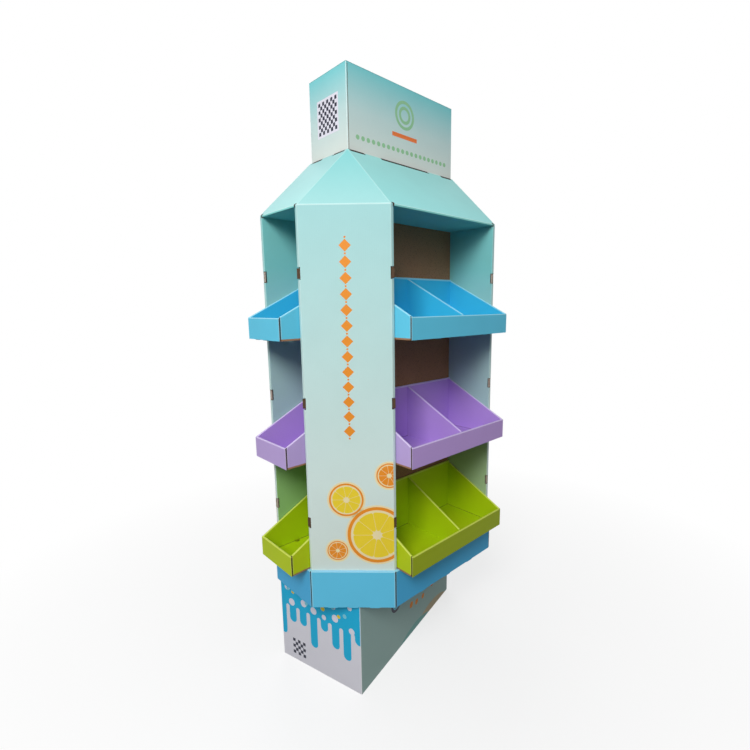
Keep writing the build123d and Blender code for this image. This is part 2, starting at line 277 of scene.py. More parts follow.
def relief_hole_shade(surface):
    # Painted shade in and round the small holes where three folds meet at the eave.
    x, y, z = surface.x, surface.y, surface.z
    long_hole = x.near(half_long_bay, HOLE_REACH) & y.near(half_depth, HOLE_REACH)
    short_hole = x.near(half_width, HOLE_REACH) & y.near(half_short_bay, HOLE_REACH)
    inner = (x < half_width - SKIN) & (y < half_depth - SKIN)
    return (long_hole | short_hole) & z.near(eave_z, HOLE_REACH) & inner


# Print on the columns from their feet up, colours of painted bounce light on the bay walls, and heights
# above the feet at which they change
COLUMN_FOOT = "D9E4DD"
COLUMN_MIDDLE = "D4E7E2"
COLUMN_HEAD = "9ED0D0"
COLUMN_MIDDLE_RISE = 0.35
LONG_WALL_BOUNCE = "ACC89A"
SHORT_WALL_BOUNCE = "9ACA7E"
WALL_BOUNCE_FADES = (((0.34, 0.44), "ABCCCB"), ((0.70, 0.92), "82CDC9"))


def column_print():
    # Water-based print on the columns: light teal that fades to a pale warm grey towards the floor. The
    # bay walls carry painted bounce light, the folds painted highlights, and the cut faces and eave
    # holes painted shade.
    material, tree = start_material("teal_print_column")
    surface = surface_of(tree)
    x, y, z = surface.x, surface.y, surface.z
    middle_z = foot_z + COLUMN_MIDDLE_RISE
    board = Print(tree, COLUMN_FOOT)
    board.lay(z.share(foot_z, middle_z), COLUMN_MIDDLE)
    board.lay(z.share(middle_z, eave_z), COLUMN_HEAD)
    short_wall = y < half_short_bay + SKIN
    wall = (x < half_long_bay + SKIN) | short_wall
    # The bay walls' print is tinted by level as painted bounce light from the trays: green low, grey in
    # the middle, deep teal under the roof.
    board.lay(wall, LONG_WALL_BOUNCE)
    board.lay(wall & short_wall, SHORT_WALL_BOUNCE)
    for (start, end), code in WALL_BOUNCE_FADES:
        board.lay(wall & z.share(foot_z + start, foot_z + end), code)
    panel = (x + y) > corner_sum - SKIN
    across = ((y - x + chamfer_shift) * math.sqrt(0.5)).size()
    # Painted highlights along the folds beside each chamfer and along its top at the eave.
    fold_highlights = x.near(half_long_bay + COLUMN_STRIP, CREASE_WIDTH) & (y > half_depth - SKIN)
    fold_highlights = fold_highlights | (y.near(half_short_bay + COLUMN_STRIP, CREASE_WIDTH) & (x > half_width - SKIN))
    fold_highlights = fold_highlights | (panel & (across > chamfer_half - CREASE_WIDTH))
    fold_highlights = fold_highlights | (panel & (z > eave_z - 2 * CREASE_WIDTH))
    board.lay(fold_highlights, CREASE_HIGHLIGHT, strength=0.45)
    # The board's cut and inner faces are kraft, painted darker as painted shade.
    deep = (x > half_long_bay + SKIN) & (y > half_short_bay + SKIN) & (x < half_width - SKIN)
    deep = deep & (y < half_depth - SKIN) & ((x + y) < corner_sum - 2 * SKIN)
    board.lay(deep, KRAFT_SHADED)
    board.lay(relief_hole_shade(surface), GAP_SHADE)
    finish_board(tree, surface, board.ink)
    return material


def in_front_of(surface, normal, point):
    # Signed distance of the surface's points in front of a plane.
    return surface.x * normal.x + surface.y * normal.y + surface.z * normal.z - normal.dot(point)


# Print on each panel of the roof, at the eave and at the top, and painted highlights on its hips and
# eave
LONG_PANEL = ("98DFDE", "96D5D3")
SHORT_PANEL = ("A7DDDC", "9ACFCF")
CORNER_PANEL = ("9CD0CF", "80C9C9")
CEILING = "88D8D2"
HIP_HIGHLIGHT = "C8ECEA"
EAVE_HIGHLIGHT = "D8F4F2"
ROOF_ROUGHNESS = 0.5


def roof_print():
    # Water-based print on the roof: clear teal, lighter at the eaves, each panel in its own tone, with
    # painted highlights on the hips and the eave and painted shade in the slots and holes.
    material, tree = start_material("teal_print_roof")
    surface = surface_of(tree)
    x, y, z = surface.x, surface.y, surface.z
    top = Vector((header_x + ROOF_LIP, header_y + ROOF_LIP, roof_top_z))
    long_eave = Vector((corner_sum - half_depth, half_depth, eave_z))
    short_eave = Vector((half_width, corner_sum - half_width, eave_z))
    rise = roof_top_z - eave_z
    long_normal = Vector((0, rise, half_depth - top.y)).normalized()
    short_normal = Vector((rise, 0, half_width - top.x)).normalized()
    corner_normal = (top - long_eave).cross(short_eave - long_eave).normalized()
    long_slope = in_front_of(surface, long_normal, long_eave)
    short_slope = in_front_of(surface, short_normal, short_eave)
    corner = in_front_of(surface, corner_normal, top)
    rise_share = z.share(eave_z, roof_top_z)
    board = Print(tree, LONG_PANEL[0])
    board.lay(rise_share, LONG_PANEL[1])
    for panel, (low, high) in ((short_slope > -SKIN, SHORT_PANEL), (corner > -SKIN, CORNER_PANEL)):
        board.lay(panel, low)
        board.lay(panel & rise_share, high)
    board.lay(z < eave_z - SKIN, CEILING)
    # Painted highlights along the hips and along the eave fold.
    hip_highlights = (corner > -CREASE_WIDTH) & ((long_slope > -CREASE_WIDTH) | (short_slope > -CREASE_WIDTH))
    board.lay(hip_highlights, HIP_HIGHLIGHT, strength=0.35)
    board.lay((z > eave_z - SKIN) & (z < eave_z + 2 * CREASE_WIDTH), EAVE_HIGHLIGHT, strength=0.5)
    # The board's cut faces round the slots are raw kraft, painted nearly black as painted shade; the
    # folded edges keep the print.
    deep = (long_slope < -SKIN) & (short_slope < -SKIN) & (corner < -SKIN) & (z < roof_top_z - SKIN)
    folded_edge = (x > half_width - SKIN) | (y > half_depth - SKIN) | (z < eave_z - BOARD + SKIN)
    board.lay(deep & ~folded_edge, GAP_SHADE)
    board.lay(relief_hole_shade(surface), GAP_SHADE)
    finish_board(tree, surface, board.ink, ROOF_ROUGHNESS)
    return material


# Print on the header from its foot up. Rings and bar are placed by their height above the roof.
HEADER_FOOT = "DCE3DD"
HEADER_MIDDLE = "C4DEDD"
HEADER_HEAD = "79CFD4"
HEADER_RIM = "5E8F92"
HEADER_MIDDLE_RISE = 0.10
RING_RISE = 0.134
RING_RADII = (0.034, 0.019)
RING_HALF_WIDTH = 0.0042
BAR_ORANGE = "EC7A3C"
BAR_RISE = 0.077
BAR_HALF_LENGTH = 0.050
BAR_HALF_WIDTH = 0.0055

# Where the header's sheet is joined, how far its tabs reach from the middle of each face, and how high
# above the roof the painted shadow at the slots reaches
HEADER_SEAM = 0.0046
HEADER_MIDDLE_TAB = 0.097
HEADER_CORNER_TAB = 0.155
HEADER_SIDE_TAB = 0.049
HEADER_SIDE_TAB_HALF = 0.025
HEADER_SLOT_SHADOW = 0.0018


def header_print():
    # Water-based print on the header: teal at the top that fades to a pale warm grey, with painted
    # highlights on its upright edges and painted shadow at the roof's slots.
    material, tree = start_material("teal_print_header")
    surface = surface_of(tree)
    x, y, z = surface.x, surface.y, surface.z
    middle_z = roof_top_z + HEADER_MIDDLE_RISE
    board = Print(tree, HEADER_FOOT)
    board.lay(z.share(roof_top_z, middle_z), HEADER_MIDDLE)
    board.lay(z.share(middle_z, header_top_z), HEADER_HEAD)
    short_face = x > header_x - SKIN
    long_face = y > header_y - SKIN
    distance = x.away(z - (roof_top_z + RING_RISE))
    for radius in RING_RADII:
        board.lay(long_face & distance.near(radius, RING_HALF_WIDTH), SOFT_GREEN)
    bar = (x < BAR_HALF_LENGTH) & z.near(roof_top_z + BAR_RISE, BAR_HALF_WIDTH)
    board.lay(long_face & bar, BAR_ORANGE)
    # Painted highlight along the upright edges.
    edges = (x > header_x - 2 * CREASE_WIDTH) & (y > header_y - 2 * CREASE_WIDTH)
    board.lay(edges, CREASE_HIGHLIGHT, strength=0.6)
    rim = (z > header_top_z - 2 * CREASE_WIDTH) & (short_face | long_face)
    board.lay(rim, HEADER_RIM, strength=0.5)
    seam = surface.signed_x.near(HEADER_SEAM - header_x, CREASE_WIDTH) & (surface.signed_y < 0.0)
    board.lay(seam & (z < header_top_z - BOARD), KRAFT_DARK, strength=0.8)
    deep = (x < header_x - SKIN) & (y < header_y - SKIN) & (z < header_top_z - SKIN)
    board.lay(deep, KRAFT)
    # Painted shadow on the faces just above the roof's slots, where the tabs go in, and painted shade on
    # the tabs below the roof.
    tabs = long_face & ((x < HEADER_MIDDLE_TAB) | (x > HEADER_CORNER_TAB))
    tabs = tabs | (short_face & y.near(HEADER_SIDE_TAB, HEADER_SIDE_TAB_HALF))
    board.lay(tabs & (z < roof_top_z + HEADER_SLOT_SHADOW), GAP_SHADE)
    board.lay(z < roof_top_z - SKIN, GAP_SHADE)
    finish_board(tree, surface, board.ink)
    return material


# How wide the painted highlight on a rolled edge is, and how high the raw edge at a tray's foot shows
ROLLED_HIGHLIGHT = 0.0026
RAW_BAND = 1.5 * TRAY_BOARD
TRAY_UNEVENNESS = 0.03


def tray_print(name, level, outer, long_front, inner, crease_highlight):
    # Water-based print on one level's trays and dividers, with painted highlights on the rolled edges,
    # painted shade on the long fronts and in the slits, and painted bounce light inside.
    material, tree = start_material(name)
    surface = surface_of(tree)
    x, y = surface.x, surface.y
    # Height over the tray's bottom, way from its back, and way from its middle as on a long tray
    height = surface.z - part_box("tray_back_" + level)[0][2] - TRAY_TAB_DROP
    short = y < half_short_bay + SKIN
    along = (short & (x - short_tray_back)) + (~short & (y - tray_back))
    across = (short & (y + half_long_bay - half_short_bay)) + (~short & x)
    top = along * ((TRAY_LIP - TRAY_BACK) / tray_depth) + TRAY_BACK
    board = Print(tree, outer)
    inside = (along > tray_wall - SKIN) & (along < tray_depth - tray_wall + SKIN)
    inside = inside & (across < half_tray - tray_wall + SKIN)
    # Inner faces take a more saturated ink as painted bounce light.
    board.lay(inside & (height > TRAY_BOARD - SKIN), inner)
    # The long fronts get a darker ink as painted shade.
    board.lay(~short & (along > tray_depth - SKIN), long_front)
    front = along > tray_depth - tray_wall - SKIN
    # Painted highlights on the rolled top edges and at the front corners.
    rolled_highlight = (height > top - ROLLED_HIGHLIGHT) | (front & (height > TRAY_LIP - ROLLED_HIGHLIGHT))
    side = across > half_tray - SKIN
    slit_end = tray_depth - TRAY_BOARD - TRAY_SLIT
    corner = (along > tray_depth - SKIN) & (across > half_tray - 2 * CREASE_WIDTH)
    corner = corner | (side & along.near(slit_end - CREASE_WIDTH, CREASE_WIDTH))
    board.lay(rolled_highlight | corner, crease_highlight, strength=0.5)
    foot = (across > half_tray - tray_wall - CREASE_WIDTH) | (along < tray_wall + CREASE_WIDTH)
    joint = inside & foot & height.near(TRAY_BOARD, CREASE_WIDTH)
    board.lay(joint, KRAFT_DARK, strength=0.7)
    raw = side & (along < tray_depth - SKIN)
    board.lay(raw & (height < RAW_BAND), KRAFT)
    board.lay(raw & (along > tray_depth - TRAY_BOARD + SKIN / 2), KRAFT_DARK)
    # Painted shade in the slit at each front corner.
    slit = (across > half_tray - TRAY_BOARD - SKIN) & (across < half_tray - SKIN)
    slit = slit & (along > slit_end - SKIN) & (along < tray_depth - TRAY_BOARD + SKIN)
    board.lay(slit & (height < TRAY_LIP + TRAY_SLIT), GAP_SHADE)
    finish_board(tree, surface, board.ink, unevenness=TRAY_UNEVENNESS)
    return material


# One blue ink all round; the corner panels are lighter as painted sheen.
BASE_SIDE = "4AB3E6"
BASE_CORNER_SHEEN = "63C8EC"
# Painted highlight, and how far it reaches from each upright corner
BASE_HIGHLIGHT = "ACE0F2"
CORNER_HIGHLIGHT_REACH = 0.0042


def base_print():
    # Water-based blue print on the base tray, with painted sheen on its corner panels, painted
    # highlights along its top fold and beside its corners, and painted shade in the open joints.
    material, tree = start_material("blue_print_base")
    surface = surface_of(tree)
    x, y, z = surface.x, surface.y, surface.z
    outer_x = half_width + base_outset
    outer_y = half_depth + base_outset
    outer_sum = corner_sum + base_outset * math.sqrt(2)
    board = Print(tree, BASE_SIDE)
    board.lay((x + y) > outer_sum - SKIN, BASE_CORNER_SHEEN)
    # Painted highlights along the top fold and beside the upright corners.
    board.lay(z > base_high[2] - 2 * CREASE_WIDTH, BASE_HIGHLIGHT, strength=0.6)
    for corner_x, corner_y in ((outer_x, outer_sum - outer_x), (outer_sum - outer_y, outer_y)):
        board.lay((x - corner_x).away(y - corner_y) < CORNER_HIGHLIGHT_REACH, BASE_HIGHLIGHT, strength=0.5)
    # The open joints between the wall layers get painted shade.
    within = (x < outer_x - SKIN) & (y < outer_y - SKIN) & ((x + y) < outer_sum - SKIN)
    layer = (x > half_width + BOARD) | (y > half_depth + BOARD)
    layer = layer | ((x + y) > corner_sum + BOARD * math.sqrt(2))
    joint = (z < base_high[2] - 2 * SKIN) & (z > base_low[2] + BOARD / 2)
    board.lay(within & layer & joint, GAP_SHADE)
    finish_board(tree, surface, board.ink)
    return material


# Running blue on the pedestal's ends: pitch and half width of the drips, and where each one's tip lies
POOL_BLUE = "1CB4E0"
POOL_LOW = 0.176
DRIP_PITCH = 0.042
DRIP_HALF = 0.014
DRIP_LEVEL = 0.128
DRIP_SWING = 0.040
DRIP_STEP = 2.3

# Two large discs on its long faces, mostly under the floor: place along, depth of the centre and ink
ARC_RADIUS = 0.245
ARCS = ((0.15, 0.215, "BFAF8C"), (0.03, 0.222, "7FB5AE"))

# Print on its ends and sides, painted highlight on its upright edges, and how deep in the board the
# brown starts
PEDESTAL_END = "E4E3EC"
PEDESTAL_SIDE = "A4C2BC"
PEDESTAL_EDGE_HIGHLIGHT = "EEF1F2"
PRINT_DEPTH = 0.0025


def pedestal_print():
    # Water-based print on the pedestal: white ends under a running blue, long faces of soft grey teal.
    material, tree = start_material("white_print_pedestal")
    surface = surface_of(tree, PEDESTAL_TURN, PEDESTAL_CENTRE)
    x, y, z = surface.x, surface.y, surface.z
    board = Print(tree, PEDESTAL_END)
    end = x > PEDESTAL_HALF_LENGTH - 2 * SKIN
    across = surface.signed_y * surface.signed_x.work("SIGN")
    drip = (across * (1 / DRIP_PITCH)).work("FLOOR")
    offset = (across - (drip + 0.5) * DRIP_PITCH).size()
    tip = (drip * DRIP_STEP + 1.0).work("SINE") * DRIP_SWING + DRIP_LEVEL
    running = ((offset < DRIP_HALF) & (z > tip)) | (offset.away(z - tip) < DRIP_HALF)
    from_gap = (offset * -1.0 + DRIP_PITCH / 2).away(z - POOL_LOW)
    pool = (z > POOL_LOW) & (from_gap > DRIP_PITCH / 2 - DRIP_HALF)
    board.lay(end & (running | pool), POOL_BLUE)
    side = (y > PEDESTAL_HALF_DEPTH - 2 * SKIN) & ~end
    along = surface.signed_x * (surface.signed_y * -1.0).work("SIGN")
    board.lay(side, PEDESTAL_SIDE)
    for place, depth, code in ARCS:
        board.lay(side & ((along - place).away(z + depth) < ARC_RADIUS), code)
    # Painted highlight along the upright edges.
    edges = (x > PEDESTAL_HALF_LENGTH - 2 * CREASE_WIDTH) & (y > PEDESTAL_HALF_DEPTH - 2 * CREASE_WIDTH)
    board.lay(edges, PEDESTAL_EDGE_HIGHLIGHT, strength=0.7)
    deep = (x < PEDESTAL_HALF_LENGTH - PRINT_DEPTH) & (y < PEDESTAL_HALF_DEPTH - PRINT_DEPTH)
    board.lay(deep & (z < pedestal_top - PRINT_DEPTH), KRAFT)
    finish_board(tree, surface, board.ink)
    return material


OVERPRINT_UNEVENNESS = 0.04
FIBRE_RANGE = (0.55, 0.75)


def overprint(name, code):
    # A second ink over the print: flat and matt, with the board's fibres just showing through.
    material, tree = start_material(name)
    surface = surface_of(tree)
    inputs = {"Vector": surface.source, "Scale": 1 / FINE_FIBRE_SIZE, "Detail": 3.0}
    fibres = Field(tree, add(tree, "ShaderNodeTexNoise", inputs).outputs[0])
    board = Print(tree, code)
    board.lay(fibres.share(*FIBRE_RANGE), CREAM, strength=0.14)
    finish_board(tree, surface, board.ink, unevenness=OVERPRINT_UNEVENNESS)
    return material


INK_COLOURS = {
    "orange": "E88D22", "yellow": "EDD130", "cream": CREAM, "green": SOFT_GREEN, "navy": "1D2138",
    "white": "E6E4F0", "pale_blue": "7FD0E4",
}
INKS = {ink: overprint(ink + "_overprint", code) for ink, code in INK_COLOURS.items()}


def new_tree(name, sizes):
    # A geometry tree with named inputs, and the node that gives them.
    tree = bpy.data.node_groups.new(name, "GeometryNodeTree")
    for label, kind in sizes.items():
        tree.interface.new_socket(name=label, in_out="INPUT", socket_type="NodeSocket" + kind)
    tree.interface.new_socket(name="Geometry", in_out="OUTPUT", socket_type="NodeSocketGeometry")
    return tree, add(tree, "NodeGroupInput").outputs


MERGE_REACH = 0.000001


def thicken(tree, flat, thickness):
    # Gives a flat figure the thickness of a film, closed below.
    inputs = {"Mesh": flat, "Offset Scale": thickness}
    raised = add(tree, "GeometryNodeExtrudeMesh", inputs).outputs["Mesh"]
    underside = add(tree, "GeometryNodeFlipFaces", {"Mesh": flat}).outputs["Mesh"]
    both = add(tree, "GeometryNodeJoinGeometry", {0: raised})
    tree.links.new(underside, both.inputs[0])
    inputs = {"Geometry": both.outputs[0], "Distance": MERGE_REACH}
    return add(tree, "GeometryNodeMergeByDistance", inputs).outputs[0]


def finish_tree(tree, figures, ink):
    # Copies become real geometry in one ink.
    real = add(tree, "GeometryNodeRealizeInstances", {0: figures}).outputs[0]
    inked = add(tree, "GeometryNodeSetMaterial", {"Geometry": real, "Material": ink}).outputs[0]
    add(tree, "NodeGroupOutput", {0: inked})


def motif_rows_tree():
    # Rows and columns of one figure with equal sides, such as a diamond, a square or a round dot.
    sizes = {
        "Columns": "Int", "Rows": "Int", "Step across": "Float", "Step up": "Float", "Sides": "Int",
        "Radius": "Float", "Turn": "Float", "Every other": "Bool", "Scatter": "Float", "Spread": "Float",
        "Seed": "Int", "Thickness": "Float", "Ink": "Material",
    }
    tree, given = new_tree("motif_rows", sizes)
    columns, rows, step_across, step_up, spread = (
        Field(tree, given[name]) for name in ("Columns", "Rows", "Step across", "Step up", "Spread")
    )
    inputs = {"Vertices": given["Sides"], "Radius": given["Radius"]}
    figure = add(tree, "GeometryNodeMeshCircle", inputs, fill_type="NGON").outputs[0]
    turn = add(tree, "ShaderNodeCombineXYZ", {"Z": given["Turn"]}).outputs[0]
    figure = add(tree, "GeometryNodeTransform", {"Geometry": figure, "Rotation": turn}).outputs[0]
    figure = thicken(tree, figure, given["Thickness"])
    inputs = {
        "Size X": step_across * (columns - 1.0), "Size Y": step_up * (rows - 1.0),
        "Vertices X": columns, "Vertices Y": rows,
    }
    places = add(tree, "GeometryNodeMeshGrid", inputs).outputs["Mesh"]
    reach = add(tree, "ShaderNodeCombineXYZ", {"X": given["Scatter"], "Y": given["Scatter"]}).outputs[0]
    back = add(tree, "ShaderNodeVectorMath", {0: reach, "Scale": -1.0}, operation="SCALE").outputs[0]
    inputs = {"Min": back, "Max": reach, "Seed": given["Seed"]}
    shift = add(tree, "FunctionNodeRandomValue", inputs, data_type="FLOAT_VECTOR").outputs["Value"]
    places = add(tree, "GeometryNodeSetPosition", {"Geometry": places, "Offset": shift}).outputs[0]
    index = Field(tree, add(tree, "GeometryNodeInputIndex").outputs[0])
    column = (index / rows).work("FLOOR")
    row = index.work("FLOORED_MODULO", rows)
    odd = (column + row).work("FLOORED_MODULO", 2.0)
    chosen = odd * given["Every other"] < 0.5
    inputs = {2: spread * -1.0 + 1.0, 3: 1.0, "Seed": given["Seed"]}
    scale = add(tree, "FunctionNodeRandomValue", inputs, data_type="FLOAT").outputs[1]
    inputs = {"Points": places, "Selection": chosen, "Instance": figure, "Scale": scale}
    finish_tree(tree, add(tree, "GeometryNodeInstanceOnPoints", inputs).outputs[0], given["Ink"])
    return tree


# Points along a segment's rim, and steps in each of its rounded corners
RIM_POINTS = 10
CORNER_STEPS = 3


def segment_ring_tree():
    # Rounded segments round a centre, as in a cut citrus fruit.
    sizes = {
        "Segments": "Int", "Radius": "Float", "Membrane": "Float", "Rounding": "Float",
        "Thickness": "Float", "Ink": "Material",
    }
    tree, given = new_tree("segment_ring", sizes)
    inputs = {0: 2 * math.pi, 1: given["Segments"]}
    sweep = Field(tree, add(tree, "ShaderNodeMath", inputs, operation="DIVIDE").outputs[0])
    inputs = {
        "Resolution": RIM_POINTS, "Radius": Field(tree, given["Radius"]) - given["Membrane"],
        "Start Angle": sweep * -0.5, "Sweep Angle": sweep, "Connect Center": True,
    }
    outline = add(tree, "GeometryNodeCurveArc", inputs, mode="RADIUS").outputs["Curve"]
    inputs = {"Curve": outline, "Radius": given["Rounding"], "Limit Radius": True, "Count": CORNER_STEPS}
    outline = add(tree, "GeometryNodeFilletCurve", inputs, mode="POLY").outputs[0]
    segment = add(tree, "GeometryNodeFillCurve", {"Curve": outline}, mode="NGONS").outputs[0]
    segment = thicken(tree, segment, given["Thickness"])
    inputs = {"Vertices": given["Segments"], "Radius": given["Membrane"]}
    places = add(tree, "GeometryNodeMeshCircle", inputs).outputs[0]
    index = Field(tree, add(tree, "GeometryNodeInputIndex").outputs[0])
    turn = add(tree, "ShaderNodeCombineXYZ", {"Z": index * sweep}).outputs[0]
    inputs = {"Points": places, "Instance": segment, "Rotation": turn}
    finish_tree(tree, add(tree, "GeometryNodeInstanceOnPoints", inputs).outputs[0], given["Ink"])
    return tree


MOTIF_ROWS = motif_rows_tree()
SEGMENT_RING = segment_ring_tree()

# What a tree gets for an input that a call doesn't give
DEFAULTS = {
    "Columns": 1, "Rows": 1, "Step_across": 0.0, "Step_up": 0.0, "Sides": 48, "Turn": 0.0,
    "Every_other": False, "Scatter": 0.0, "Spread": 0.0, "Seed": 0,
}

# Each ink lies one film over the one below, and starts just inside the board
FILM = 0.00008
SUNK = 0.00005


def printed(tree, place, layer, **values):
    # The mesh that a tree makes from the given sizes, moved to its place on a panel.
    piece = bpy.data.objects.new("figures", bpy.data.meshes.new("figures"))
    bpy.context.scene.collection.objects.link(piece)
    modifier = piece.modifiers.new("figures", "NODES")
    modifier.node_group = tree
    values = {**DEFAULTS, "Thickness": SUNK + layer * FILM, **values}
    for item in tree.interface.items_tree:
        if item.in_out == "INPUT":
            modifier[item.identifier] = values[item.name.replace(" ", "_")]
    graph = bpy.context.evaluated_depsgraph_get()
    mesh = bpy.data.meshes.new_from_object(piece.evaluated_get(graph))
    bpy.data.objects.remove(piece)
    mesh.transform(Matrix.Translation((*place, -SUNK)))
    return mesh


def panel_place(centre, outward):
    # From a panel's own across, up and outward axes, as seen from in front of it, to the room's.
    out = Vector(outward).normalized()
    up = Vector((0, 0, 1))
    axes = Matrix((up.cross(out), up, out)).transposed().to_4x4()
    return Matrix.Translation(centre) @ axes


def trim(body, half):
    # Cuts off what would pass the folds at both edges of a panel, and closes the cut.
    for sign in (-1, 1):
        everything = body.verts[:] + body.edges[:] + body.faces[:]
        edge = Vector((sign * half, 0, 0))
        bmesh.ops.bisect_plane(body, geom=everything, plane_co=edge, plane_no=edge, clear_outer=True)
        bmesh.ops.holes_fill(body, edges=[e for e in body.edges if e.is_boundary], sides=0)


def print_piece(name, meshes, half, centre, outward):
    # Joins the figures on one panel to one piece that lies on it.
    joined = bpy.data.meshes.new(name)
    body = bmesh.new()
    for mesh in meshes:
        # A figure's first material slot may be empty, so its ink is read from a face.
        ink = mesh.materials[mesh.polygons[0].material_index]
        if ink.name not in joined.materials:
            joined.materials.append(ink)
        start = len(body.faces)
        body.from_mesh(mesh)
        body.faces.ensure_lookup_table()
        for face in body.faces[start:]:
            face.material_index = joined.materials.find(ink.name)
        bpy.data.meshes.remove(mesh)
    trim(body, half)
    bmesh.ops.recalc_face_normals(body, faces=body.faces)
    body.to_mesh(joined)
    body.free()
    joined.transform(panel_place(centre, outward))
    piece = bpy.data.objects.new(name, joined)
    bpy.context.scene.collection.objects.link(piece)
    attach(piece, "root")


# Parts of a cut citrus fruit, some as shares of its radius
SEGMENTS = 9
HALO = 0.005
PITH_SHARE = 0.89
FLESH_SHARE = 0.81
ROUNDING_SHARE = 0.07
MEMBRANE = 0.0012


def citrus_wheel(place, radius, flesh):
    # A cut citrus fruit: pale halo, peel, pith and segments.
    discs = ((radius + HALO, "cream"), (radius, "orange"), (radius * PITH_SHARE, "cream"))
    meshes = []
    for layer, (size, ink) in enumerate(discs, start=1):
        meshes.append(printed(MOTIF_ROWS, place, layer, Radius=size, Ink=INKS[ink]))
    sizes = {"Radius": radius * FLESH_SHARE, "Membrane": MEMBRANE, "Rounding": radius * ROUNDING_SHARE}
    ring = printed(SEGMENT_RING, place, len(discs) + 1, Segments=SEGMENTS, Ink=INKS[flesh], **sizes)
    return meshes + [ring]


# The row of diamonds and beads, with the height of its middle over the feet
ROW_RISE = 0.7235
DIAMONDS = 13
DIAMOND_PITCH = 0.0385
DIAMOND_RADIUS = 0.0150
BEAD_RADIUS = 0.0026
BEAD_SIDES = 16

# Citrus wheels: way across as a share of half the panel, height over the feet, radius and flesh
WHEELS = (
    (0.90, 0.372, 0.034, "orange"), (-0.12, 0.305, 0.046, "yellow"), (0.60, 0.205, 0.080, "yellow"),
    (-0.36, 0.160, 0.028, "orange"),
)


def print_chamfer(name, sign_x, sign_y):
    # A row of orange diamonds and beads up the panel, and citrus wheels at its foot.
    place = (0, foot_z + ROW_RISE)
    row = {"Step_up": DIAMOND_PITCH, "Ink": INKS["orange"]}
    diamonds = {"Rows": DIAMONDS, "Sides": 4, "Radius": DIAMOND_RADIUS}
    beads = {"Rows": DIAMONDS + 1, "Sides": BEAD_SIDES, "Radius": BEAD_RADIUS}
    meshes = [printed(MOTIF_ROWS, place, 1, **row, **sizes) for sizes in (diamonds, beads)]
    for share, rise, radius, flesh in WHEELS:
        meshes += citrus_wheel((share * chamfer_half, foot_z + rise), radius, flesh)
    centre = (sign_x * (half_width - chamfer_run / 2), sign_y * (half_depth - chamfer_run / 2), 0)
    print_piece("print_" + name, meshes, chamfer_half, centre, (sign_x, sign_y, 0))


LABEL_HALF = 0.047
LABEL_MARGIN = 0.006
LABEL_RISE = 0.1015
HEADER_CHECKS = 9


def check_pattern(place, half, count, layer):
    # A plain check of navy squares.
    side = 2 * half / count
    sizes = {"Columns": count, "Rows": count, "Step_across": side, "Step_up": side, "Sides": 4}
    turned = {"Radius": side * math.sqrt(0.5), "Turn": math.pi / 4, "Every_other": True}
    return printed(MOTIF_ROWS, place, layer, **sizes, **turned, Ink=INKS["navy"])


def print_header_side(name, sign):
    # A white label with a plain check on each short face.
    place = (0, roof_top_z + LABEL_RISE)
    sizes = {"Radius": LABEL_HALF * math.sqrt(2), "Turn": math.pi / 4, "Sides": 4}
    label = printed(MOTIF_ROWS, place, 1, **sizes, Ink=INKS["white"])
    check = check_pattern(place, LABEL_HALF - LABEL_MARGIN, HEADER_CHECKS, 2)
    print_piece(name, [label, check], header_y, (sign * header_x, 0, 0), (sign, 0, 0))


DOTS = 20
DOT_PITCH = 0.0185
DOT_RADIUS = 0.0062
DOT_SIDES = 20
DOT_RISE = 0.037


def print_header_front(name, sign):
    # A row of green dots along each long face.
    sizes = {"Columns": DOTS, "Step_across": DOT_PITCH, "Radius": DOT_RADIUS, "Sides": DOT_SIDES}
    dots = printed(MOTIF_ROWS, (0, roof_top_z + DOT_RISE), 1, **sizes, Ink=INKS["green"])
    print_piece(name, [dots], header_x, (0, sign * header_y, 0), (0, sign, 0))


# Round dots in loose rows: the place of their middle on the panel, their numbers and steps, how far one
# may stray, the share by which one may be smaller, the seed, the radius, the film and the ink
Dots = namedtuple("Dots", "place columns rows step_across step_up stray smaller seed radius layer ink")
BUBBLES = (
    Dots((0, 0.226), 6, 2, 0.045, 0.045, 0.017, 0.45, 3, 0.0125, 1, "white"),
    Dots((0, 0.226), 5, 1, 0.054, 0.045, 0.017, 0.45, 8, 0.0085, 3, "pale_blue"),
    Dots((0, 0.226), 3, 1, 0.090, 0.045, 0.017, 0.45, 5, 0.0075, 3, "yellow"),
)
SIDE_DOTS = (
    Dots((0.125, 0.165), 4, 2, 0.052, 0.048, 0.012, 0.40, 4, 0.0160, 2, "green"),
    Dots((0.070, 0.100), 4, 1, 0.052, 0.048, 0.012, 0.40, 6, 0.0125, 1, "orange"),
)
LOOSE_DOT_SIDES = 24


def loose_dots(dots):
    # One group of round dots, each a little off its place and a little smaller.
    steps = {"Step_across": dots.step_across, "Step_up": dots.step_up, "Scatter": dots.stray}
    sizes = {"Columns": dots.columns, "Rows": dots.rows, "Radius": dots.radius, "Spread": dots.smaller}
    given = {"Seed": dots.seed, "Sides": LOOSE_DOT_SIDES, "Ink": INKS[dots.ink]}
    return printed(MOTIF_ROWS, dots.place, dots.layer, **steps, **sizes, **given)


def print_pedestal_panel(name, meshes, half, reach, outward):
    # Lays figures on one face of the turned pedestal.
    outward = Matrix.Rotation(PEDESTAL_TURN, 4, "Z") @ Vector(outward)
    centre = Vector(PEDESTAL_CENTRE) + outward * reach
    print_piece(name, meshes, half, centre, outward)


PEDESTAL_CHECK_PLACE = (-0.085, 0.046)
PEDESTAL_CHECK_HALF = 0.026
PEDESTAL_CHECKS = 5


